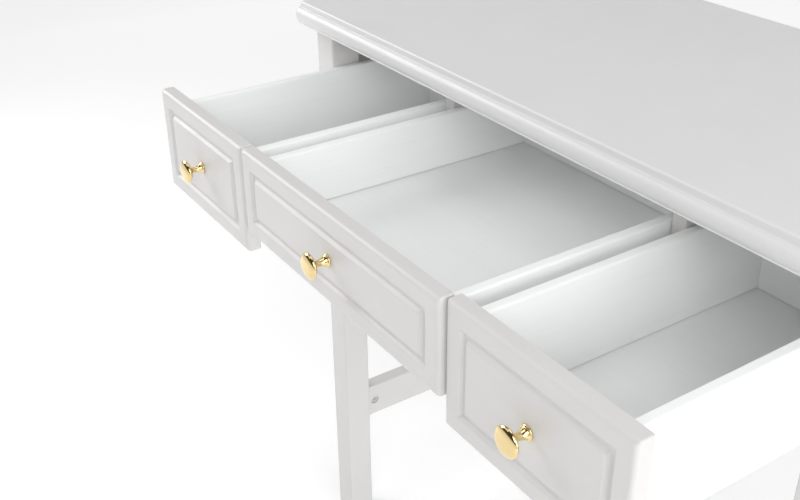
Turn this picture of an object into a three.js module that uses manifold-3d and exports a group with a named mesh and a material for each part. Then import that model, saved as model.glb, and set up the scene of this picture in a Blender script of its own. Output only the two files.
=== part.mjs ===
// A free-standing dressing table with three drawers, all three pulled part of the way out.
// Millimetres, +Z up, the front faces -Y. The origin is on the floor under the middle of the whole outline.
import * as THREE from "three";
import { mergeVertices } from "three/addons/utils/BufferGeometryUtils.js";
import Module from "manifold-3d";

const wasm = await Module();
wasm.setup();

// ---- Driving dimensions ----
const GAP = 0.3; // between pieces that touch
const HEIGHT = 780;
const TOP = { width: 800, depth: 400, thickness: 26, overhang: 19, corner: 6 };
const NOSE = { radius: 9.5, flatness: 0.7, from: -Math.PI / 4, to: Math.PI / 4, arcs: 6, step: 6 };
const LEG = { size: 37, edge: 3 };
const GLIDE = { radius: 12, height: 4 };
const FRAME_WIDTH = TOP.width - 2 * TOP.overhang; // over the legs
const FRAME_DEPTH = 366;
const REVEAL = 32; // open band between the table top and the drawer fronts
const FRONT = { thickness: 15, sideHeight: 115, middleHeight: 90, gap: 2, round: 4.5, arris: 0.8 };
const FRONT_WIDTH = { side: 195, middle: 328 };
const GROOVE = { inset: 17, width: 10, depth: 3.4, flare: 2.6, corner: 2 };
const BOX = { side: 10, back: 10, bottom: 4, length: 334, topDrop: 11.5, inset: 8, grooveDepth: 4, ease: 2.2 };
const BOX_FLOOR = { side: 99, middle: 71 }; // inside floor of each box, below the top of its front
const SIDE_BELOW_FLOOR = 9; // how far a box side reaches below that floor
const LEG_CLEARANCE = 2; // between a leg and the box that slides past it
const PULL = { left: 193, middle: 193, right: 188 }; // how far each drawer stands open
const PANEL = 15; // aprons, dividers and the front rail
const RAIL = { height: 34, setBack: 40 };
const APRON_SET_IN = 3;
const RUNNER = { height: 8, guideHeight: 54, reach: 12, slack: 1.5 };
const STRETCHER = { width: 20, height: 50, top: 217, edge: 2 };
const CAM = { radius: 6, depth: 12.5, fromLeg: 13, hole: 13.5, slotLength: 8, slotWidth: 1.4, slotDepth: 1 };
const DOWEL = { radius: 3.5, tip: 2.5, inLeg: 14 };
const KNOB = { head: 12.5, length: 22, flange: 6.4, neck: 3.1, bore: 2.3, boreDepth: 10 };
const SCREW = { radius: 2, head: 4, headHeight: 2.4 };
const BACK_CLEARANCE = 6; // between the closed drawers and the back panel

// ---- Places worked out from them (y = 0 is the front of the legs until the last line of the file) ----
const underTop = HEIGHT - TOP.thickness;
const frontTop = underTop - REVEAL;
const sideFrontBottom = frontTop - FRONT.sideHeight;
const boxTop = frontTop - BOX.topDrop;
const legCentreX = FRAME_WIDTH / 2 - LEG.size / 2;
const legInnerX = FRAME_WIDTH / 2 - LEG.size;
const dividerX = FRONT_WIDTH.middle / 2 + FRONT.gap / 2;
const stretcherMiddle = STRETCHER.top - STRETCHER.height / 2;
const backPanelY = BOX.length + BACK_CLEARANCE;
const rearLegFront = FRAME_DEPTH - LEG.size;

// ---- Materials ----
const paint = (color, roughness) => new THREE.MeshStandardMaterial({ color, roughness, metalness: 0 });
const metal = (color, roughness) => new THREE.MeshStandardMaterial({ color, roughness, metalness: 1 });
const WHITE = paint(0xf0efed, 0.42);
const TOP_WHITE = paint(0xf3f2f1, 0.36);
const INNER_WHITE = paint(0xe9eae9, 0.55);
const GOLD = metal(0xd9a441, 0.18);
const STEEL = metal(0xb9bcc0, 0.35);
const GLIDE_PLASTIC = paint(0xdcdcda, 0.5);

// ---- Shape helpers ----
function outline(points) {
  return new THREE.Shape(points.map(([x, y]) => new THREE.Vector2(x, y)));
}

function roundedRectangle(width, height, radius) {
  const x = width / 2;
  const y = height / 2;
  const shape = new THREE.Shape();
  shape.moveTo(-x + radius, -y);
  shape.lineTo(x - radius, -y);
  shape.absarc(x - radius, -y + radius, radius, -Math.PI / 2, 0, false);
  shape.lineTo(x, y - radius);
  shape.absarc(x - radius, y - radius, radius, 0, Math.PI / 2, false);
  shape.lineTo(-x + radius, y);
  shape.absarc(-x + radius, y - radius, radius, Math.PI / 2, Math.PI, false);
  shape.lineTo(-x, -y + radius);
  shape.absarc(-x + radius, -y + radius, radius, Math.PI, Math.PI * 1.5, false);
  return shape;
}

// Extrudes along +Z from 0, with nothing bevelled.
function extrude(shape, depth, curveSegments = 4) {
  return new THREE.ExtrudeGeometry(shape, { depth, bevelEnabled: false, curveSegments, steps: 1 });
}

// A section drawn in X and Z, extruded from y0 to y1.
function alongY(shape, y0, y1) {
  return extrude(shape, y1 - y0).rotateX(Math.PI / 2).translate(0, y1, 0);
}

// A block given by its lowest and highest corners.
function block([x0, y0, z0], [x1, y1, z1]) {
  const middle = [(x0 + x1) / 2, (y0 + y1) / 2, (z0 + z1) / 2];
  return new THREE.BoxGeometry(x1 - x0, y1 - y0, z1 - z0).translate(...middle);
}

// A slab whose edge follows a profile: each step is [inset from the full outline, height].
function profiledSlab(width, depth, corner, steps, cornerSegments = 3) {
  const rings = steps.map(([inset, z]) => {
    const shape = roundedRectangle(width - 2 * inset, depth - 2 * inset, Math.max(corner - inset, 0.6));
    return shape.getPoints(cornerSegments).slice(0, -1).map((p) => [p.x, p.y, z]);
  });
  const count = rings[0].length;
  const vertices = rings.flat(2);
  const faces = [];
  for (let r = 0; r + 1 < rings.length; r++) {
    for (let i = 0; i < count; i++) {
      const a = r * count + i;
      const b = r * count + ((i + 1) % count);
      faces.push(a, b, b + count, a, b + count, a + count);
    }
  }
  const last = (rings.length - 1) * count;
  for (let i = 1; i + 1 < count; i++) {
    faces.push(0, i + 1, i, last, last + i, last + i + 1);
  }
  const geometry = new THREE.BufferGeometry();
  geometry.setAttribute("position", new THREE.Float32BufferAttribute(vertices, 3));
  geometry.setIndex(faces);
  return geometry;
}

// A cylinder between two points on one axis direction.
function rod(radius, from, to, segments = 24) {
  const a = new THREE.Vector3(...from);
  const b = new THREE.Vector3(...to);
  const along = b.clone().sub(a);
  const up = new THREE.Vector3(0, 1, 0);
  const turn = new THREE.Quaternion().setFromUnitVectors(up, along.clone().normalize());
  return new THREE.CylinderGeometry(radius, radius, along.length(), segments)
    .applyQuaternion(turn)
    .translate((a.x + b.x) / 2, (a.y + b.y) / 2, (a.z + b.z) / 2);
}

// A turned solid about +Y from [radius, height] points.
function turned(points, segments) {
  const profile = points.map(([radius, height]) => new THREE.Vector2(radius, height));
  return new THREE.LatheGeometry(profile, segments);
}

// ---- Joining and cutting ----
function solid(geometry) {
  const bare = geometry.clone();
  bare.deleteAttribute("normal");
  bare.deleteAttribute("uv");
  const merged = mergeVertices(bare, 1e-4);
  const vertProperties = merged.getAttribute("position").array;
  const triVerts = new Uint32Array(merged.index.array);
  return new wasm.Manifold(new wasm.Mesh({ numProp: 3, vertProperties, triVerts }));
}

function surface(manifold) {
  const mesh = manifold.getMesh();
  const geometry = new THREE.BufferGeometry();
  geometry.setAttribute("position", new THREE.Float32BufferAttribute(mesh.vertProperties, 3));
  geometry.setIndex(Array.from(mesh.triVerts));
  geometry.computeVertexNormals();
  return geometry;
}

function cut(geometry, ...tools) {
  return surface(tools.reduce((left, tool) => left.subtract(solid(tool)), solid(geometry)));
}

function join(geometry, ...more) {
  return surface(more.reduce((sum, other) => sum.add(solid(other)), solid(geometry)));
}

const table = new THREE.Group();
function piece(parent, name, geometry, material) {
  const mesh = new THREE.Mesh(geometry, material);
  mesh.name = name;
  parent.add(mesh);
}

// ---- Table top: a slab with a small step over a rounded nose, the same on all four edges ----
function tableTop() {
  const { radius, flatness, from, to, arcs, step } = NOSE;
  const ease = 1.6;
  const steps = [[step - 1, 0], [ease, ease]];
  for (let i = 0; i <= arcs; i++) {
    const angle = from + ((to - from) * i) / arcs;
    steps.push([radius * (1 - Math.cos(angle)) * flatness, radius * (1 + Math.sin(angle))]);
  }
  steps.push([step, 2 * radius], [step + 0.6, 2 * radius + 1.4]);
  steps.push([step + 1.2, TOP.thickness - ease], [step + 1.2 + ease, TOP.thickness]);
  const slab = profiledSlab(TOP.width, TOP.depth, TOP.corner, steps);
  slab.translate(0, TOP.depth / 2 - TOP.overhang, underTop);
  piece(table, "table_top", slab, TOP_WHITE);
}

// ---- Legs, each drilled for the connector that holds its stretcher ----
function legs() {
  for (const [side, sx] of [["left", -1], ["right", 1]]) {
    for (const [end, y, inward] of [["front", LEG.size / 2, 1], ["rear", FRAME_DEPTH - LEG.size / 2, -1]]) {
      const x = sx * legCentreX;
      const z = stretcherMiddle;
      const post = extrude(roundedRectangle(LEG.size, LEG.size, LEG.edge), underTop - GLIDE.height - 2 * GAP);
      post.translate(x, y, GLIDE.height + GAP);
      const face = y + (inward * LEG.size) / 2;
      const holeEnd = face - inward * (DOWEL.inLeg + 1);
      const hole = rod(DOWEL.tip + GAP, [x, face + inward, z], [x, holeEnd, z]);
      piece(table, `leg_${end}_${side}`, cut(post, hole), WHITE);
      piece(table, `foot_glide_${end}_${side}`, footGlide().translate(x, y, 0), GLIDE_PLASTIC);
    }
  }
}

function footGlide() {
  const { radius, height } = GLIDE;
  const edge = 1.5;
  return turned([[0, 0], [radius - edge, 0], [radius, edge], [radius, height], [0, height]], 24)
    .rotateX(Math.PI / 2);
}

// ---- A stretcher between the legs of each side, with a cam lock and a steel dowel at both ends ----
function stretchers() {
  const y0 = LEG.size + GAP;
  const y1 = rearLegFront - GAP;
  const z = stretcherMiddle;
  const reach = CAM.slotLength / 2;
  const half = CAM.slotWidth / 2;
  for (const [side, sx] of [["left", -1], ["right", 1]]) {
    const x = sx * legCentreX;
    const inner = x - (sx * STRETCHER.width) / 2;
    const section = roundedRectangle(STRETCHER.width, STRETCHER.height, STRETCHER.edge);
    const bar = alongY(section, y0, y1).translate(x, 0, z);
    const holes = [];
    for (const [end, face, inward] of [["front", y0, 1], ["rear", y1, -1]]) {
      const camY = face + inward * CAM.fromLeg;
      const camBottom = inner + sx * CAM.hole;
      const camTop = inner + sx * (CAM.hole - CAM.depth);
      holes.push(rod(CAM.radius + GAP, [inner - sx, camY, z], [camBottom, camY, z]));
      holes.push(rod(DOWEL.radius + GAP, [x, face - inward, z], [x, camY, z]));
      const slotX = [camTop - CAM.slotDepth, camTop + CAM.slotDepth];
      const lock = cut(
        rod(CAM.radius, [camTop, camY, z], [camBottom - sx * GAP, camY, z]),
        block([slotX[0], camY - reach, z - half], [slotX[1], camY + reach, z + half]),
        block([slotX[0], camY - half, z - reach], [slotX[1], camY + half, z + reach]),
      );
      piece(table, `cam_lock_${end}_${side}`, lock, STEEL);
      const shankEnd = camY - inward * (CAM.radius + GAP);
      const tipEnd = face - inward * (GAP + DOWEL.inLeg);
      const dowel = join(
        rod(DOWEL.radius, [x, shankEnd, z], [x, face - inward * 0.1, z]),
        rod(DOWEL.tip, [x, shankEnd, z], [x, tipEnd, z]),
      );
      piece(table, `cam_dowel_${end}_${side}`, dowel, STEEL);
    }
    piece(table, `stretcher_${side}`, cut(bar, ...holes), WHITE);
  }
}

// ---- Aprons: one between the legs of each side, and one across the back ----
function aprons() {
  for (const [side, sx] of [["left", -1], ["right", 1]]) {
    const outer = sx * (FRAME_WIDTH / 2 - APRON_SET_IN);
    const inner = outer - sx * PANEL;
    const low = [Math.min(outer, inner), LEG.size + GAP, sideFrontBottom];
    const high = [Math.max(outer, inner), rearLegFront - GAP, underTop - GAP];
    piece(table, `apron_${side}`, block(low, high), WHITE);
  }
  const x = legInnerX - GAP;
  const low = [-x, backPanelY, sideFrontBottom];
  const high = [x, backPanelY + PANEL, underTop - GAP];
  piece(table, "apron_back", block(low, high), WHITE);
}

// ---- Front rail under the table top, set back behind the front legs, and the two dividers it crosses ----
function railAndDividers() {
  const railX = FRAME_WIDTH / 2 - APRON_SET_IN - PANEL - GAP;
  const railBottom = underTop - RAIL.height;
  const railBack = RAIL.setBack + PANEL;
  const rail = block([-railX, RAIL.setBack, railBottom], [railX, railBack, underTop - GAP]);
  piece(table, "front_rail", rail, WHITE);
  for (const [side, sx] of [["left", -1], ["right", 1]]) {
    const low = [-PANEL / 2, RAIL.setBack, sideFrontBottom];
    const panel = block(low, [PANEL / 2, backPanelY - GAP, underTop - GAP]);
    const notch = block([-PANEL, RAIL.setBack - 1, railBottom - GAP], [PANEL, railBack + GAP, underTop]);
    piece(table, `divider_${side}`, cut(panel, notch).translate(sx * dividerX, 0, 0), WHITE);
  }
}

// ---- Runners: a stepped rail on each apron, and a strip on both faces of each divider ----
function runners() {
  const sideLedge = sideBottom(BOX_FLOOR.side) - GAP;
  const middleLedge = sideBottom(BOX_FLOOR.middle) - GAP;
  const wall = FRAME_WIDTH / 2 - APRON_SET_IN - PANEL - GAP;
  const guide = legInnerX - LEG_CLEARANCE + RUNNER.slack;
  const reach = guide - RUNNER.reach;
  const underside = sideLedge - RUNNER.height;
  const guideTop = sideLedge + RUNNER.guideHeight;
  const section = [
    [wall, underside], [wall, guideTop], [guide, guideTop],
    [guide, sideLedge], [reach, sideLedge], [reach, underside],
  ];
  for (const [side, sx] of [["left", -1], ["right", 1]]) {
    const points = section.map(([x, z]) => [sx * x, z]);
    const rail = alongY(outline(points), LEG.size + GAP, rearLegFront - GAP);
    piece(table, `runner_outer_${side}`, rail, INNER_WHITE);
    for (const [name, towards, ledge] of [["side", 1, sideLedge], ["middle", -1, middleLedge]]) {
      const near = sx * (dividerX + towards * (PANEL / 2 + GAP));
      const far = near + sx * towards * RUNNER.reach;
      const low = [Math.min(near, far), RAIL.setBack, ledge - RUNNER.height];
      const high = [Math.max(near, far), backPanelY - GAP, ledge];
      piece(table, `runner_${name}_${side}`, block(low, high), INNER_WHITE);
    }
  }
}

function sideBottom(floorDrop) {
  return frontTop - floorDrop - SIDE_BELOW_FLOOR;
}

// ---- Drawers ----
// A drawer front: rounded outer edges, a picture-frame groove, a slot for the bottom and a screw hole.
// It is made lying down, outer face up, then stood up with its outer face at y = 0 facing -Y.
function drawerFront(width, height, floorDrop, boxLeft, boxRight) {
  const { thickness, round, arris } = FRONT;
  const steps = [[arris, 0], [0, arris], [0, thickness - round]];
  const arcs = 4;
  for (let i = 1; i <= arcs; i++) {
    const angle = ((i / arcs) * Math.PI) / 2;
    steps.push([round * (1 - Math.cos(angle)), thickness - round + round * Math.sin(angle)]);
  }
  const slab = profiledSlab(width, height, 1.5 * arris, steps);
  const routed = solid(slab).subtract(grooveRing(width, height));
  const up = surface(routed).rotateX(Math.PI / 2).translate(width / 2, thickness, -height / 2);
  const floorTop = -floorDrop + GAP;
  const slotLow = [boxLeft, thickness - BOX.grooveDepth, floorTop - BOX.bottom - 2 * GAP];
  const slot = block(slotLow, [boxRight, thickness + 1, floorTop]);
  const hole = rod(SCREW.radius + GAP, [width / 2, -1, -height / 2], [width / 2, thickness + 1, -height / 2]);
  return cut(up, slot, hole);
}

// What the router takes out of a front: a ring with flared walls.
function grooveRing(width, height) {
  const t = FRONT.thickness;
  const { inset, depth, flare, corner } = GROOVE;
  const floor = t - depth;
  const halfway = t - depth * 0.45;
  const outside = profiledSlab(width - 2 * inset, height - 2 * inset, corner, [
    [flare, floor], [flare * 0.3, halfway], [0, t + 0.01], [0, t + 2],
  ]);
  const far = inset + GROOVE.width;
  const inside = profiledSlab(width - 2 * far, height - 2 * far, corner, [
    [-flare, floor - 1], [-flare, floor], [-flare * 0.3, halfway], [0, t + 0.01], [0, t + 3],
  ]);
  return solid(outside).subtract(solid(inside));
}

// A box side: a board with an eased top edge and a groove for the bottom on its inner face, towards +X.
function boxSide(floorDrop) {
  const top = -BOX.topDrop;
  const bottom = -floorDrop - SIDE_BELOW_FLOOR;
  const grooveTop = -floorDrop + GAP;
  const grooveBottom = -floorDrop - BOX.bottom - GAP;
  const shape = new THREE.Shape();
  shape.moveTo(0, bottom);
  shape.lineTo(BOX.side, bottom);
  shape.lineTo(BOX.side, grooveBottom);
  shape.lineTo(BOX.side - BOX.grooveDepth, grooveBottom);
  shape.lineTo(BOX.side - BOX.grooveDepth, grooveTop);
  shape.lineTo(BOX.side, grooveTop);
  return alongY(easedTop(shape, BOX.side, top), FRONT.thickness + GAP, FRONT.thickness + BOX.length);
}

// Finishes a board's section with its rounded top edge, from x = thickness back to x = 0.
function easedTop(shape, thickness, top) {
  const { ease } = BOX;
  shape.lineTo(thickness, top - ease);
  shape.absarc(thickness - ease, top - ease, ease, 0, Math.PI / 2, false);
  shape.lineTo(ease, top);
  shape.absarc(ease, top - ease, ease, Math.PI / 2, Math.PI, false);
  return shape;
}

function knob() {
  const { head, length, flange, neck, bore, boreDepth } = KNOB;
  const points = [[0, boreDepth], [bore, boreDepth], [bore, 0]];
  points.push([flange, 0], [flange, 1.2], [flange - 0.8, 1.9]);
  for (let i = 0; i <= 6; i++) {
    const s = i / 6;
    points.push([neck + (flange - 1.6 - neck) * (1 - s) ** 2.2, 2.2 + s * 7.9]);
  }
  points.push([neck + 1, length - 9.5], [neck + 2.9, length - 8.1]);
  for (let i = 0; i < 10; i++) {
    const angle = -Math.PI / 3.4 + (i / 9.5) * (Math.PI / 2 + Math.PI / 3.4);
    const half = angle < 0 ? 2.7 : 4.2;
    points.push([head * Math.cos(angle) ** 0.8, length - 4.2 + half * Math.sin(angle)]);
  }
  points.push([0, length]);
  return turned(points, 28);
}

function knobScrew() {
  const { radius, head, headHeight } = SCREW;
  const tip = FRONT.thickness + KNOB.boreDepth - 1.5;
  const points = [[0, -headHeight], [head * 0.6, -headHeight], [head, -headHeight * 0.4], [head, -GAP]];
  points.push([radius, -GAP], [radius, tip - 1], [radius - 0.8, tip], [0, tip]);
  return turned(points, 16);
}

// A whole drawer. x0 is the left edge of its front; boxLeft and boxRight are the outer faces of its box.
function drawer(name, x0, width, height, floorDrop, boxLeft, boxRight, pull) {
  const group = new THREE.Group();
  const t = FRONT.thickness;
  group.position.set(x0, -pull - t, frontTop);
  const left = boxLeft - x0;
  const right = boxRight - x0;
  const grip = BOX.side - BOX.grooveDepth + GAP;
  const front = drawerFront(width, height, floorDrop, left + grip - GAP, right - grip + GAP);
  piece(group, `${name}_front`, front, WHITE);
  piece(group, `${name}_side_left`, boxSide(floorDrop).translate(left, 0, 0), INNER_WHITE);
  const mirrored = boxSide(floorDrop).rotateZ(Math.PI).translate(right, 2 * t + BOX.length + GAP, 0);
  piece(group, `${name}_side_right`, mirrored, INNER_WHITE);
  const back = alongX(backSection(floorDrop), left + BOX.side + GAP, right - BOX.side - GAP);
  piece(group, `${name}_back`, back.translate(0, t + BOX.length - BOX.back, 0), INNER_WHITE);
  const low = [left + grip, t - BOX.grooveDepth + GAP, -floorDrop - BOX.bottom];
  const high = [right - grip, t + BOX.length, -floorDrop];
  piece(group, `${name}_bottom`, block(low, high), INNER_WHITE);
  const pullKnob = knob().rotateX(Math.PI).translate(width / 2, -GAP, -height / 2);
  piece(group, `${name}_knob`, pullKnob, GOLD);
  const screw = knobScrew().rotateX(Math.PI).translate(width / 2, t, -height / 2);
  piece(group, `${name}_knob_screw`, screw, STEEL);
  table.add(group);
}

// The section of a box back, which stands on the drawer bottom.
function backSection(floorDrop) {
  const shape = new THREE.Shape();
  shape.moveTo(0, -floorDrop + GAP);
  shape.lineTo(BOX.back, -floorDrop + GAP);
  return easedTop(shape, BOX.back, -BOX.topDrop);
}

// A section drawn in Y and Z, extruded from x0 to x1.
function alongX(shape, x0, x1) {
  return extrude(shape, x1 - x0).rotateX(Math.PI / 2).rotateZ(Math.PI / 2).translate(x0, 0, 0);
}

function drawers() {
  const { side, middle } = FRONT_WIDTH;
  const { sideHeight, middleHeight, gap } = FRONT;
  const m = middle / 2;
  const boxM = m - BOX.inset;
  const besideLeg = legInnerX - LEG_CLEARANCE;
  const besideDivider = m + gap + BOX.inset;
  const floor = BOX_FLOOR;
  drawer("left_drawer", -m - gap - side, side, sideHeight, floor.side, -besideLeg, -besideDivider, PULL.left);
  drawer("middle_drawer", -m, middle, middleHeight, floor.middle, -boxM, boxM, PULL.middle);
  drawer("right_drawer", m + gap, side, sideHeight, floor.side, besideDivider, besideLeg, PULL.right);
}

tableTop();
legs();
stretchers();
aprons();
railAndDividers();
runners();
drawers();

// The origin is under the middle of the outline, from the furthest knob to the rear edge of the table top.
const knobTip = -PULL.middle - FRONT.thickness - GAP - KNOB.length;
const rearEdge = TOP.depth - TOP.overhang;
table.position.y = -(knobTip + rearEdge) / 2;

const dressingTable = new THREE.Group();
dressingTable.add(table);
export default dressingTable;
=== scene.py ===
# A white dressing table with its three drawers pulled open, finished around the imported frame.
# Metres, +Z up, the front faces -Y. Sizes in millimetres are written as a number times MM.
import math

import bmesh
import bpy
from mathutils import Matrix, Vector


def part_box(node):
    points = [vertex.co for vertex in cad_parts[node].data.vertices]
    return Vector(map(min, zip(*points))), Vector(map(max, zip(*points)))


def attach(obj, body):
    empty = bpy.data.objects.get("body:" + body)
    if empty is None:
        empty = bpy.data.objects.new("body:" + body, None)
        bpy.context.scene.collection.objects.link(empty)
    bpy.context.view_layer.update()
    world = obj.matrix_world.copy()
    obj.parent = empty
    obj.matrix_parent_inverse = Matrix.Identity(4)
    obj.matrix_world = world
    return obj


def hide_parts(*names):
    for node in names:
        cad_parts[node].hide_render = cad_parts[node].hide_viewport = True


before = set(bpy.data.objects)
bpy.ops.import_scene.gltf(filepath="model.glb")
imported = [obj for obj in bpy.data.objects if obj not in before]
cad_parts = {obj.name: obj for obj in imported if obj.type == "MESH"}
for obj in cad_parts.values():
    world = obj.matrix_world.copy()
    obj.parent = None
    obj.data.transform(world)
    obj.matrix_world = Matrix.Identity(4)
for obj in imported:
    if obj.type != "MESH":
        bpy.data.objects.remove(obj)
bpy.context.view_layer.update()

MM = 0.001
SIDES = ("left", "right")
ENDS = ("front", "rear")
DRAWERS = ("left_drawer", "middle_drawer", "right_drawer")

# ---- Camera ----
# Azimuth 0 is in front of the drawers and 90 is to the right. Angles are in degrees.
LENS = 46.7
AIM = Vector((-0.0625, -0.1678, 0.6214))
DISTANCE = 1.0217
AZIMUTH = 56.83
ELEVATION = 29.31
ROLL = -0.63

# ---- Studio ----
SKY_LOW = 0.6
SKY_OVERHEAD = 0.14
SKY_FRONT = 0.15  # how bright the sky is in front of the drawers, where 1 is behind them
FLOOR_GLOW_NEAR = 0.22
FLOOR_GLOW_FAR = 0.7
SOFTBOX_SIZE = 1.2
SOFTBOX_DISTANCE = 2.2
SOFTBOX_AIM = Vector((0, -0.1, 0.62))
SOFTBOXES = (  # name, azimuth, elevation, watts
    ("key", 56, 30, 18.5),
    ("left", -65, 25, 28),
    ("left_front", -30, 45, 4),
    ("right", 90, 12, 22),
    ("right_back", 125, 30, 6),
    ("overhead", 0, 89, 9),
    ("back", 180, 50, 8.5),
)
TONE = 1.35  # soft contrast of the finished picture

# ---- Shapes that the boxes of the frame don't give ----
TOP_NOSE = 9.5 * MM  # half the height of the rounded nose
TOP_STEP = 6.4 * MM  # how far the upper face stands back from the nose
TOP_LEDGE = 0.9 * MM  # rise of the hollow between the nose and the upper face
TOP_ROUND = 2.2 * MM
TOP_CORNER = 7 * MM
MIN_CORNER = 0.6 * MM
LEG_EDGE = 2.6 * MM
LEG_CHAMFER = 0.8 * MM
BAR_CORNER = 2 * MM
BAR_CHAMFER = 0.5 * MM
BOARD_EDGE = 0.9 * MM
FOIL_EDGE = 0.5 * MM
BOX_EASE = 2.2 * MM
BEVEL_SEGMENTS = 3
BEVEL_LIMIT = 30  # degrees
CLEARANCE = 0.3 * MM

LOCK_HOLE_DEPTH = 16 * MM
LOCK_SUNK = 2 * MM  # how far a lock's hole runs out past the face of the stretcher
LOCK_EDGE = 0.5 * MM

FRONT_ROUND = 4.5 * MM
FRONT_CORNER = 1.4 * MM
GROOVE_INSET = 17 * MM
GROOVE_WIDTH = 9 * MM
GROOVE_DEPTH = 3.4 * MM
GROOVE_WALL = 2.6 * MM
GROOVE_LIP = 0.5 * MM
GROOVE_CURVE = ((0, 0.12), (0.3, 0.34), (0.65, 0.72), (0.9, 0.95), (1.15, 1))  # across, down
PANEL_SLOT = 4 * MM  # depth of the slots that hold a drawer bottom
SEAM = 0.9 * MM  # dark line between a drawer bottom and its walls

KNOB_LENGTH = 22 * MM
KNOB_HEAD = 12.5 * MM
KNOB_FLANGE = 6.4 * MM
KNOB_NECK = 3.1 * MM
KNOB_BORE = 2.3 * MM
KNOB_BORE_DEPTH = 10 * MM
SCREW_HOLE = 2.4 * MM
SCREW_HOLE_DEPTH = 20 * MM


# ---- Mesh helpers ----
def mesh_from(vertices, faces):
    bm = bmesh.new()
    made = [bm.verts.new(v) for v in vertices]
    for face in faces:
        bm.faces.new([made[i] for i in face])
    bm.normal_update()
    return bm


def rounded_ring(width, depth, radius, height, corner_steps):
    """A rounded rectangle centred on the Z axis, anticlockwise from above."""
    points = []
    for quarter, (sx, sy) in enumerate([(1, -1), (1, 1), (-1, 1), (-1, -1)]):
        centre_x = sx * (width / 2 - radius)
        centre_y = sy * (depth / 2 - radius)
        for step in range(corner_steps + 1):
            angle = math.pi / 2 * (quarter - 1 + step / corner_steps)
            x = centre_x + radius * math.cos(angle)
            y = centre_y + radius * math.sin(angle)
            points.append((x, y, height))
    return points


def loft(rings):
    """A closed body through rings of equally many points, capped at both ends."""
    count = len(rings[0])
    faces = [tuple(reversed(range(count)))]
    for low in range(len(rings) - 1):
        for i in range(count):
            a = low * count + i
            b = low * count + (i + 1) % count
            faces.append((a, b, b + count, a + count))
    last = (len(rings) - 1) * count
    faces.append(tuple(range(last, last + count)))
    return mesh_from([point for ring in rings for point in ring], faces)


def profiled_slab(width, depth, corner, steps, corner_steps):
    """A slab whose edge follows steps of (inset from the full outline, height)."""
    rings = []
    for inset, height in steps:
        radius = max(corner - inset, MIN_CORNER)
        rings.append(rounded_ring(width - 2 * inset, depth - 2 * inset, radius, height, corner_steps))
    return loft(rings)


def lathe(profile, segments):
    """A turned body about +Z from (radius, height) points that start and end on the axis."""
    vertices = [(0, 0, profile[0][1])]
    for radius, height in profile[1:-1]:
        for i in range(segments):
            angle = 2 * math.pi * i / segments
            vertices.append((radius * math.cos(angle), radius * math.sin(angle), height))
    vertices.append((0, 0, profile[-1][1]))
    top = len(vertices) - 1
    faces = []
    for i in range(segments):
        j = (i + 1) % segments
        faces.append((0, 1 + j, 1 + i))
        for level in range(len(profile) - 3):
            low = 1 + level * segments
            faces.append((low + i, low + j, low + segments + j, low + segments + i))
        last = top - segments
        faces.append((last + i, last + j, top))
    return mesh_from(vertices, faces)


def quarter_turn(steps):
    """Angles from 0 to 90 degrees."""
    return [math.pi / 2 * i / steps for i in range(steps + 1)]


def stood_in(bm, low, high):
    """Moves a body made on the Z axis to the middle of a box's underside."""
    bm.transform(Matrix.Translation(((low.x + high.x) / 2, (low.y + high.y) / 2, low.z)))
    return bm


def towards_front(bm, x, y, z):
    """Turns a body made about +Z to point along -Y, and moves it from the origin."""
    bm.transform(Matrix.Rotation(math.pi / 2, 4, "X"))
    bm.transform(Matrix.Translation((x, y, z)))
    return bm


def towards_x(bm, sign):
    """Turns a body made about +Z to point along +X or -X."""
    bm.transform(Matrix.Rotation(math.pi / 2 * sign, 4, "Y"))
    return bm


def prism(section, start, end, axis):
    """A section of (across, height) points extruded along Y, or along X, from start to end."""
    if axis == "Y":
        rings = [[(x, at, z) for x, z in section] for at in (start, end)]
    else:
        rings = [[(at, y, z) for y, z in section] for at in (start, end)]
    bm = loft(rings)
    bmesh.ops.recalc_face_normals(bm, faces=bm.faces)
    return bm


def box_mesh(low, high):
    size = Vector(high) - Vector(low)
    centre = (Vector(high) + Vector(low)) / 2
    bm = bmesh.new()
    bmesh.ops.create_cube(bm, size=1, matrix=Matrix.Translation(centre) @ Matrix.Diagonal((*size, 1)))
    return bm


def crossed_slots(reach, half_width, depth):
    """Cutters for two crossed slots in the start of a body made about +Z."""
    return [
        box_mesh((-reach, -half_width, -MM), (reach, half_width, depth)),
        box_mesh((-half_width, -reach, -MM), (half_width, reach, depth)),
    ]


def bevelled(bm, width):
    """Rounds every edge sharper than BEVEL_LIMIT."""
    bm.normal_update()
    limit = math.radians(BEVEL_LIMIT)
    edges = [e for e in bm.edges if len(e.link_faces) == 2 and e.calc_face_angle(0) > limit]
    bmesh.ops.bevel(
        bm,
        geom=edges,
        offset=width,
        segments=BEVEL_SEGMENTS,
        profile=0.5,
        affect="EDGES",
        clamp_overlap=True,
    )
    return bm


def eased_board(low, high, width=BOARD_EDGE):
    return bevelled(box_mesh(low, high), width)


def scratch_object(bm, name):
    mesh = bpy.data.meshes.new(name)
    bm.to_mesh(mesh)
    bm.free()
    obj = bpy.data.objects.new(name, mesh)
    bpy.context.scene.collection.objects.link(obj)
    return obj


def cut(bm, *tools):
    """bm with each of the tools cut away."""
    body = scratch_object(bm, "cut_body")
    spent = [body]
    for tool in tools:
        knife = scratch_object(tool, "cut_tool")
        spent.append(knife)
        modifier = body.modifiers.new("cut", "BOOLEAN")
        modifier.object = knife
        modifier.operation = "DIFFERENCE"
        modifier.solver = "EXACT"
    shaped = body.evaluated_get(bpy.context.evaluated_depsgraph_get()).to_mesh()
    result = bmesh.new()
    result.from_mesh(shaped)
    for obj in spent:
        mesh = obj.data
        bpy.data.objects.remove(obj)
        bpy.data.meshes.remove(mesh)
    return result


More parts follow.
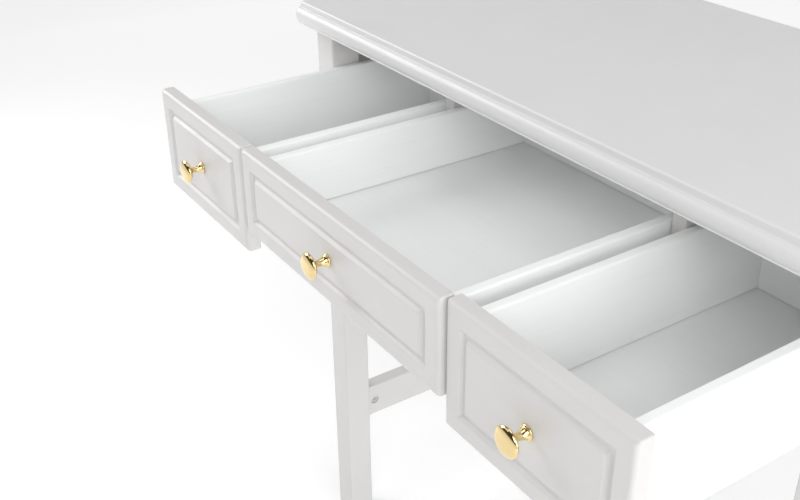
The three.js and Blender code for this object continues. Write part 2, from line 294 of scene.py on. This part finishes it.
def piece(node, bm, material, body, sharp=32):
    """Puts a finished mesh in place of a CAD node, smooth but for edges sharper than an angle."""
    bm.normal_update()
    for face in bm.faces:
        face.smooth = True
    for edge in bm.edges:
        edge.smooth = len(edge.link_faces) == 2 and edge.calc_face_angle(0) < math.radians(sharp)
    mesh = bpy.data.meshes.new(f"{node}_fine")
    bm.to_mesh(mesh)
    bm.free()
    obj = bpy.data.objects.new(f"{node}_fine", mesh)
    bpy.context.scene.collection.objects.link(obj)
    mesh.materials.append(material)
    weighted = obj.modifiers.new("weighted", "WEIGHTED_NORMAL")
    weighted.keep_sharp = True
    weighted.weight = 80
    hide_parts(node)
    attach(obj, body)
    return obj


# ---- Materials ----
class Nodes:
    """A short way to build one procedural material around its Principled shader."""

    MIX_COLOURS = (6, 7)  # the colour sockets of a Mix node, which share their names with others
    MIX_RESULT = 2

    def __init__(self, name):
        self.material = bpy.data.materials.new(name)
        self.material.use_nodes = True
        self.tree = self.material.node_tree
        self.shader = self.tree.nodes["Principled BSDF"]
        self.place = self.tree.nodes.new("ShaderNodeTexCoord").outputs["Object"]

    def link(self, output, socket):
        self.tree.links.new(output, socket)

    def drive(self, name, output):
        """Links an output to one of the shader's inputs."""
        self.link(output, self.shader.inputs[name])

    def set(self, **values):
        for name, value in values.items():
            self.shader.inputs[name.replace("_", " ")].default_value = value

    def stretched(self, scale):
        mapping = self.tree.nodes.new("ShaderNodeMapping")
        mapping.inputs["Scale"].default_value = scale
        self.link(self.place, mapping.inputs["Vector"])
        return mapping.outputs["Vector"]

    def noise(self, scale, detail, roughness=0.5, vector=None):
        node = self.tree.nodes.new("ShaderNodeTexNoise")
        node.inputs["Scale"].default_value = scale
        node.inputs["Detail"].default_value = detail
        node.inputs["Roughness"].default_value = roughness
        self.link(vector or self.place, node.inputs["Vector"])
        return node.outputs["Fac"]

    def spread(self, value, low, high, start=0.3, end=0.7):
        """Maps start..end of a value to low..high."""
        node = self.tree.nodes.new("ShaderNodeMapRange")
        node.inputs["From Min"].default_value = start
        node.inputs["From Max"].default_value = end
        node.inputs["To Min"].default_value = low
        node.inputs["To Max"].default_value = high
        self.link(value, node.inputs["Value"])
        return node.outputs["Result"]

    def blend(self, factor, first, second):
        node = self.tree.nodes.new("ShaderNodeMix")
        node.data_type = "RGBA"
        self.link(factor, node.inputs["Factor"])
        for index, colour in zip(self.MIX_COLOURS, (first, second)):
            if isinstance(colour, tuple):
                node.inputs[index].default_value = (*colour, 1)
            else:
                self.link(colour, node.inputs[index])
        return node.outputs[self.MIX_RESULT]

    def bump(self, height, strength, distance, before=None):
        node = self.tree.nodes.new("ShaderNodeBump")
        node.inputs["Strength"].default_value = strength
        node.inputs["Distance"].default_value = distance
        self.link(height, node.inputs["Height"])
        if before:
            self.link(before, node.inputs["Normal"])
        return node.outputs["Normal"]


def lacquer(name, light, shade, gloss):
    """Sprayed satin lacquer on board: faint clouding, orange peel and a slow wave in the sheen."""
    m = Nodes(name)
    clouds = m.noise(7, 4, 0.6)
    flecks = m.noise(420, 2, 0.6)
    tint = m.blend(m.spread(clouds, 0, 1), light, shade)
    fleck_tint = m.blend(m.spread(flecks, 0, 0.35, 0.55, 0.75), tint, tuple(c * 0.94 for c in shade))
    m.drive("Base Color", fleck_tint)
    m.drive("Roughness", m.spread(m.noise(38, 3, 0.55), gloss - 0.05, gloss + 0.07))
    wave = m.bump(m.noise(26, 2, 0.5), 0.18, 0.5 * MM)
    m.drive("Normal", m.bump(m.noise(620, 2, 0.5), 0.12, 0.12 * MM, wave))
    m.set(IOR=1.47, Coat_Weight=0.12, Coat_Roughness=0.22)
    return m.material


def foil(name, light, shade, grain_scale):
    """White foil wrapped on board, with a faint pressed grain that runs along the board."""
    m = Nodes(name)
    grain_place = m.stretched(grain_scale)
    grain = m.noise(1, 6, 0.62, grain_place)
    clouds = m.noise(9, 3, 0.55)
    tint = m.blend(m.spread(clouds, 0, 1), light, shade)
    streaked = m.blend(m.spread(grain, 0, 0.5, 0.48, 0.72), tint, tuple(c * 0.95 for c in shade))
    m.drive("Base Color", streaked)
    m.drive("Roughness", m.spread(grain, 0.44, 0.58))
    pressed = m.bump(grain, 0.14, 0.15 * MM)
    m.drive("Normal", m.bump(m.noise(900, 2, 0.5), 0.1, 0.06 * MM, pressed))
    m.set(IOR=1.46)
    return m.material


def polished_brass():
    m = Nodes("polished_brass")
    smudge = m.noise(70, 4, 0.6)
    m.drive("Base Color", m.blend(m.spread(smudge, 0, 1), (0.80, 0.585, 0.25), (0.75, 0.54, 0.22)))
    m.drive("Roughness", m.spread(m.noise(160, 4, 0.65), 0.04, 0.10))
    m.drive("Normal", m.bump(m.noise(900, 2, 0.5), 0.03, 0.05 * MM))
    m.set(Metallic=1.0)
    return m.material


def zinc_plate():
    m = Nodes("zinc_plate")
    cloud = m.noise(240, 4, 0.6)
    m.drive("Base Color", m.blend(m.spread(cloud, 0, 1), (0.60, 0.61, 0.62), (0.47, 0.48, 0.50)))
    m.drive("Roughness", m.spread(cloud, 0.28, 0.42))
    m.drive("Normal", m.bump(m.noise(1400, 3, 0.6), 0.15, 0.05 * MM))
    m.set(Metallic=1.0)
    return m.material


def moulded_plastic():
    m = Nodes("moulded_plastic")
    cloud = m.noise(60, 3, 0.5)
    m.drive("Base Color", m.blend(m.spread(cloud, 0, 1), (0.70, 0.70, 0.69), (0.62, 0.62, 0.61)))
    m.drive("Roughness", m.spread(cloud, 0.45, 0.58))
    m.drive("Normal", m.bump(m.noise(1100, 3, 0.6), 0.3, 0.1 * MM))
    return m.material


PAINT = lacquer("white_lacquer", (0.625, 0.611, 0.603), (0.600, 0.586, 0.578), 0.40)
TOP_PAINT = lacquer("top_lacquer", (0.70, 0.70, 0.70), (0.675, 0.675, 0.677), 0.36)
FOIL_ALONG = foil("white_foil_along_y", (0.885, 0.905, 0.899), (0.865, 0.883, 0.877), (420, 16, 420))
FOIL_ACROSS = foil("white_foil_along_x", (0.885, 0.897, 0.896), (0.865, 0.876, 0.875), (16, 420, 420))
BRASS = polished_brass()
ZINC = zinc_plate()
PLASTIC = moulded_plastic()


# ---- Carcass ----
def table_top():
    """A slab with a rounded nose, a small hollow over it and an eased upper face."""
    low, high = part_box("table_top")
    size = high - low
    arcs = 20
    steps = [(4.4 * MM, 0), (2.8 * MM, 0.25 * MM), (2.1 * MM, 0.9 * MM)]
    for i in range(arcs + 1):
        angle = math.radians(-52 + 124 * i / arcs)
        inset = TOP_NOSE * (1 - math.cos(angle)) * 0.7
        steps.append((inset, TOP_NOSE + TOP_NOSE * math.sin(angle)))
    nose_inset, nose_height = steps[-1]
    for angle in quarter_turn(5)[1:]:
        across = (TOP_STEP - nose_inset) * math.sin(angle)
        steps.append((nose_inset + across, nose_height + TOP_LEDGE * (1 - math.cos(angle))))
    for angle in quarter_turn(6):
        inset = TOP_STEP + TOP_ROUND * (1 - math.cos(angle))
        steps.append((inset, size.z - TOP_ROUND + TOP_ROUND * math.sin(angle)))
    slab = stood_in(profiled_slab(size.x, size.y, TOP_CORNER, steps, 8), low, high)
    piece("table_top", slab, TOP_PAINT, "carcass", 50)


def leg(low, high):
    """An upright square post with rounded corners and a light chamfer at both ends."""
    length = high.z - low.z
    steps = [(LEG_CHAMFER, 0), (0, LEG_CHAMFER), (0, length - LEG_CHAMFER), (LEG_CHAMFER, length)]
    return stood_in(profiled_slab(high.x - low.x, high.y - low.y, LEG_EDGE, steps, 8), low, high)


def foot_glide(low, high):
    """A low turned disc with a rounded underside."""
    radius = (high.x - low.x) / 2
    height = high.z - low.z
    edge = height * 0.75
    profile = [(0, 0), (radius * 0.6, 0)]
    for angle in quarter_turn(8):
        profile.append((radius - edge * (1 - math.sin(angle)), edge * (1 - math.cos(angle))))
    profile += [(radius, height), (0, height)]
    return stood_in(lathe(profile, 64), low, high)


def legs_and_glides():
    for side in SIDES:
        for end in ENDS:
            low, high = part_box(f"leg_{end}_{side}")
            piece(f"leg_{end}_{side}", leg(low, high), PAINT, "carcass", 40)
            glide_low, glide_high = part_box(f"foot_glide_{end}_{side}")
            glide = foot_glide(glide_low, glide_high)
            piece(f"foot_glide_{end}_{side}", glide, PLASTIC, "carcass")


def cam_lock(radius, depth):
    """A slotted disc about +Z, with its slotted face at the origin."""
    inner = radius - LOCK_EDGE
    profile = [(0, 0), (inner, 0), (radius, LOCK_EDGE), (radius, depth), (0, depth)]
    return cut(lathe(profile, 64), *crossed_slots(4 * MM, 0.75 * MM, 1.6 * MM))


def stretchers_and_locks():
    for side, outward in (("left", -1), ("right", 1)):
        low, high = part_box(f"stretcher_{side}")
        width, height = high.x - low.x, high.z - low.z
        length = high.y - low.y
        steps = [(BAR_CHAMFER, 0), (0, BAR_CHAMFER), (0, length - BAR_CHAMFER), (BAR_CHAMFER, length)]
        bar = profiled_slab(width, height, BAR_CORNER, steps, 6)
        towards_front(bar, (low.x + high.x) / 2, high.y, (low.z + high.z) / 2)
        open_x = high.x if outward < 0 else low.x
        holes = []
        for end in ENDS:
            lock_low, lock_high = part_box(f"cam_lock_{end}_{side}")
            centre = (lock_low + lock_high) / 2
            radius = (lock_high.z - lock_low.z) / 2
            wide = radius + LOCK_EDGE
            hole = lathe([(0, 0), (wide, 0), (wide, LOCK_HOLE_DEPTH), (0, LOCK_HOLE_DEPTH)], 64)
            towards_x(hole, outward)
            hole.transform(Matrix.Translation((open_x - outward * LOCK_SUNK, centre.y, centre.z)))
            holes.append(hole)
            disc = towards_x(cam_lock(radius, lock_high.x - lock_low.x), outward)
            face_x = lock_high.x if outward < 0 else lock_low.x
            disc.transform(Matrix.Translation((face_x, centre.y, centre.z)))
            piece(f"cam_lock_{end}_{side}", disc, ZINC, "carcass")
        piece(f"stretcher_{side}", cut(bar, *holes), PAINT, "carcass", 40)


def panels():
    for node in ("apron_left", "apron_right", "apron_back", "front_rail"):
        piece(node, eased_board(*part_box(node)), PAINT, "carcass", 60)
    rail_low, rail_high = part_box("front_rail")
    for side in SIDES:
        low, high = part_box(f"divider_{side}")
        notch_y = rail_high.y + CLEARANCE
        notch_z = rail_low.z - CLEARANCE
        section = [
            (low.y, low.z),
            (high.y, low.z),
            (high.y, high.z),
            (notch_y, high.z),
            (notch_y, notch_z),
            (low.y, notch_z),
        ]
        board = bevelled(prism(section, low.x, high.x, "X"), BOARD_EDGE)
        piece(f"divider_{side}", board, PAINT, "carcass", 60)


def runners():
    for side, outward in (("left", -1), ("right", 1)):
        low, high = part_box(f"runner_outer_{side}")
        ledge_z = low.z + 8 * MM
        ledge_width = 12 * MM
        wall = high.x if outward > 0 else low.x
        reach = low.x if outward > 0 else high.x
        guide = reach + outward * ledge_width
        section = [
            (wall, low.z),
            (wall, high.z),
            (guide, high.z),
            (guide, ledge_z),
            (reach, ledge_z),
            (reach, low.z),
        ]
        rail = bevelled(prism(section, low.y, high.y, "Y"), FOIL_EDGE)
        piece(f"runner_outer_{side}", rail, FOIL_ALONG, "carcass", 60)
        for name in ("side", "middle"):
            node = f"runner_{name}_{side}"
            piece(node, eased_board(*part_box(node), FOIL_EDGE), FOIL_ALONG, "carcass", 60)


# ---- Drawers ----
def drawer_front(drawer):
    """Made lying down with its outer face up: rounded edges, a picture-frame groove and a flat field."""
    low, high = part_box(f"{drawer}_front")
    width, height, thickness = high.x - low.x, high.z - low.z, high.y - low.y
    steps = [(0.8 * MM, 0), (0.25 * MM, 0.25 * MM), (0, 0.8 * MM)]
    for angle in quarter_turn(10):
        inset = FRONT_ROUND * (1 - math.cos(angle))
        steps.append((inset, thickness - FRONT_ROUND + FRONT_ROUND * math.sin(angle)))
    steps.append((GROOVE_INSET - GROOVE_LIP, thickness))
    for across, down in GROOVE_CURVE:
        steps.append((GROOVE_INSET + GROOVE_WALL * across, thickness - GROOVE_DEPTH * down))
    field = GROOVE_INSET + GROOVE_WIDTH
    for across, down in reversed(GROOVE_CURVE):
        steps.append((field - GROOVE_WALL * across, thickness - GROOVE_DEPTH * down))
    steps.append((field + GROOVE_LIP, thickness))
    rings = []
    for inset, level in steps:
        rings.append(rounded_ring(width - 2 * inset, height - 2 * inset, FRONT_CORNER, level, 5))
    slab = towards_front(loft(rings), (low.x + high.x) / 2, high.y, (low.z + high.z) / 2)
    bottom_low, bottom_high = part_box(f"{drawer}_bottom")
    slot = box_mesh(
        (bottom_low.x - CLEARANCE, bottom_low.y - CLEARANCE, bottom_low.z - CLEARANCE),
        (bottom_high.x + CLEARANCE, high.y + MM, bottom_high.z + SEAM),
    )
    screw_low, screw_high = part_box(f"{drawer}_knob_screw")
    centre = (screw_low + screw_high) / 2
    profile = [(0, 0), (SCREW_HOLE, 0), (SCREW_HOLE, SCREW_HOLE_DEPTH), (0, SCREW_HOLE_DEPTH)]
    hole = towards_front(lathe(profile, 32), centre.x, high.y + 2 * MM, centre.z)
    piece(f"{drawer}_front", cut(slab, slot, hole), PAINT, drawer, 40)


def eased_section(near, far, bottom, top, slot=None):
    """A board's section with a rounded top edge. slot is (depth, low, high) on its far face."""
    points = [(near, bottom), (far, bottom)]
    towards = 1 if far > near else -1
    if slot:
        depth, slot_low, slot_high = slot
        inner = far - towards * depth
        points += [(far, slot_low), (inner, slot_low), (inner, slot_high), (far, slot_high)]
    for angle in quarter_turn(6):
        inset = BOX_EASE * (1 - math.cos(angle))
        points.append((far - towards * inset, top - BOX_EASE * (1 - math.sin(angle))))
    for angle in quarter_turn(6):
        inset = BOX_EASE * (1 - math.sin(angle))
        points.append((near + towards * inset, top - BOX_EASE * (1 - math.cos(angle))))
    return points


def drawer_box(drawer):
    bottom_low, bottom_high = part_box(f"{drawer}_bottom")
    slot_low = bottom_low.z - CLEARANCE
    slot_high = bottom_high.z + SEAM
    for side in SIDES:
        node = f"{drawer}_side_{side}"
        low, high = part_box(node)
        near, far = (low.x, high.x) if side == "left" else (high.x, low.x)
        section = eased_section(near, far, low.z, high.z, (PANEL_SLOT, slot_low, slot_high))
        piece(node, prism(section, low.y, high.y, "Y"), FOIL_ALONG, drawer, 50)
    node = f"{drawer}_back"
    low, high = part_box(node)
    section = eased_section(low.y, high.y, slot_high, high.z)
    piece(node, prism(section, low.x, high.x, "X"), FOIL_ACROSS, drawer, 50)
    board = eased_board(bottom_low, bottom_high, 0.3 * MM)
    piece(f"{drawer}_bottom", board, FOIL_ACROSS, drawer, 60)


def knob_profile():
    """Flange, waisted neck and domed head, as (radius, height above the drawer front)."""
    points = [(0, KNOB_BORE_DEPTH), (KNOB_BORE, KNOB_BORE_DEPTH), (KNOB_BORE, 0)]
    points += [(KNOB_FLANGE - 0.3 * MM, 0), (KNOB_FLANGE, 0.3 * MM), (KNOB_FLANGE, 0.9 * MM)]
    points += [(KNOB_FLANGE - 0.2 * MM, 1.4 * MM), (KNOB_FLANGE - 0.7 * MM, 1.7 * MM)]
    foot_flare = KNOB_FLANGE - 1.2 * MM - KNOB_NECK
    for i in range(17):
        s = i / 16
        points.append((KNOB_NECK + foot_flare * (1 - s) ** 2.2, (1.95 + s * 8.65) * MM))
    head_flare = 5.4 * MM
    for i in range(1, 9):
        s = i / 8
        points.append((KNOB_NECK + head_flare * s**2.4, (10.6 + 3.9 * s) * MM))
    dome, under = 4.2 * MM, 3.0 * MM
    rim = KNOB_LENGTH - dome
    for i in range(10):
        angle = -math.radians(48) * (1 - i / 9)
        points.append((KNOB_HEAD * math.cos(angle) ** 0.8, rim + under * math.sin(angle)))
    for i in range(1, 24):
        angle = math.radians(90) * i / 24
        points.append((KNOB_HEAD * math.cos(angle) ** 0.8, rim + dome * math.sin(angle)))
    points.append((0, KNOB_LENGTH))
    return points


def knob_screw(length):
    """A pan-head screw along +Z, head first, with ribs for its thread."""
    head, head_height, shank, turns = 4 * MM, 2.1 * MM, 2 * MM, 20
    profile = [(0, 0), (head * 0.35, 0.02 * MM)]
    for angle in quarter_turn(7):
        radius = head * (0.45 + 0.55 * math.sin(angle))
        profile.append((radius, head_height * 0.75 * (1 - math.cos(angle)) + 0.06 * MM))
    profile += [(head, head_height), (shank, head_height)]
    for i in range(turns):
        level = head_height + (length - head_height - 2 * MM) * (i + 0.5) / turns
        profile.append((shank - (0.3 * MM if i % 2 else 0), level))
    profile += [(shank * 0.7, length - MM), (shank * 0.4, length), (0, length)]
    return cut(lathe(profile, 48), *crossed_slots(2.2 * MM, 0.45 * MM, 1.3 * MM))


def knob_and_screw(drawer):
    low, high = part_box(f"{drawer}_knob")
    centre = (low + high) / 2
    knob = towards_front(lathe(knob_profile(), 128), centre.x, high.y, centre.z)
    piece(f"{drawer}_knob", knob, BRASS, drawer, 50)
    low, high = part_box(f"{drawer}_knob_screw")
    screw = knob_screw(high.y - low.y)
    towards_front(screw, (low.x + high.x) / 2, high.y, (low.z + high.z) / 2)
    piece(f"{drawer}_knob_screw", screw, ZINC, drawer)


def dowels():
    """The connector dowels sit inside the joints, so their frame shapes stay."""
    for side in SIDES:
        for end in ENDS:
            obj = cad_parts[f"cam_dowel_{end}_{side}"]
            obj.data.materials.clear()
            obj.data.materials.append(ZINC)


# ---- Floor, light and camera ----
def floor():
    """A plain pale floor that glows a little more away from the table, so that it stays even."""
    bm = bmesh.new()
    bmesh.ops.create_grid(bm, x_segments=8, y_segments=8, size=14)
    obj = scratch_object(bm, "studio_floor")
    m = Nodes("studio_floor")
    tint = m.blend(m.spread(m.noise(1.5, 3), 0, 1), (0.93, 0.93, 0.93), (0.91, 0.91, 0.91))
    m.drive("Base Color", tint)
    m.set(Roughness=0.8, Emission_Color=(1, 1, 1, 1))
    away = m.tree.nodes.new("ShaderNodeVectorMath")
    away.operation = "LENGTH"
    m.link(m.place, away.inputs[0])
    glow = m.spread(away.outputs["Value"], FLOOR_GLOW_NEAR, FLOOR_GLOW_FAR, 0.9, 3.0)
    m.drive("Emission Strength", glow)
    obj.data.materials.append(m.material)
    obj.location.z = -0.4 * MM


def smooth_range(tree, value, **ends):
    """Maps a value smoothly between the named ends of a Map Range node."""
    node = tree.nodes.new("ShaderNodeMapRange")
    node.interpolation_type = "SMOOTHSTEP"
    for name, end in ends.items():
        node.inputs[name.replace("_", " ")].default_value = end
    tree.links.new(value, node.inputs["Value"])
    return node.outputs["Result"]


def sky():
    """Dim overhead and in front of the drawers, and pale low down behind them."""
    world = bpy.data.worlds.new("studio")
    bpy.context.scene.world = world
    world.use_nodes = True
    tree = world.node_tree
    split = tree.nodes.new("ShaderNodeSeparateXYZ")
    tree.links.new(tree.nodes.new("ShaderNodeTexCoord").outputs["Generated"], split.inputs[0])
    height, depth = split.outputs["Z"], split.outputs["Y"]
    rise = smooth_range(tree, height, From_Min=0.02, From_Max=0.2, To_Min=SKY_LOW, To_Max=SKY_OVERHEAD)
    behind = smooth_range(tree, depth, From_Min=-0.3, From_Max=0.3, To_Min=SKY_FRONT)
    strength = tree.nodes.new("ShaderNodeMath")
    strength.operation = "MULTIPLY"
    tree.links.new(rise, strength.inputs[0])
    tree.links.new(behind, strength.inputs[1])
    background = tree.nodes["Background"]
    background.inputs["Color"].default_value = (1, 1, 1, 1)
    tree.links.new(strength.outputs["Value"], background.inputs["Strength"])


def direction(azimuth, elevation):
    a, e = math.radians(azimuth), math.radians(elevation)
    return Vector((math.sin(a) * math.cos(e), -math.cos(a) * math.cos(e), math.sin(e)))


def softbox(name, azimuth, elevation, power):
    """A square soft light aimed at the drawers."""
    light = bpy.data.lights.new(name, "AREA")
    light.shape = "RECTANGLE"
    light.size = light.size_y = SOFTBOX_SIZE
    light.energy = power
    obj = bpy.data.objects.new(name, light)
    away = direction(azimuth, elevation)
    obj.location = SOFTBOX_AIM + away * SOFTBOX_DISTANCE
    obj.rotation_euler = away.to_track_quat("Z", "Y").to_euler()
    bpy.context.scene.collection.objects.link(obj)


def lights():
    for name, azimuth, elevation, power in SOFTBOXES:
        softbox(name, azimuth, elevation, power)


def camera():
    data = bpy.data.cameras.new("camera")
    data.lens = LENS
    data.clip_start = 0.01
    obj = bpy.data.objects.new("camera", data)
    away = direction(AZIMUTH, ELEVATION)
    turn = away.to_track_quat("Z", "Y").to_matrix().to_4x4()
    roll = Matrix.Rotation(math.radians(ROLL), 4, "Z")
    obj.matrix_world = Matrix.Translation(AIM + away * DISTANCE) @ turn @ roll
    bpy.context.scene.collection.objects.link(obj)
    bpy.context.scene.camera = obj


def build():
    table_top()
    legs_and_glides()
    stretchers_and_locks()
    panels()
    runners()
    for drawer in DRAWERS:
        drawer_front(drawer)
        drawer_box(drawer)
        knob_and_screw(drawer)
    dowels()


camera()
floor()
sky()
lights()
build()
bpy.context.scene.view_settings.view_transform = "Standard"
bpy.context.scene.view_settings.gamma = TONE
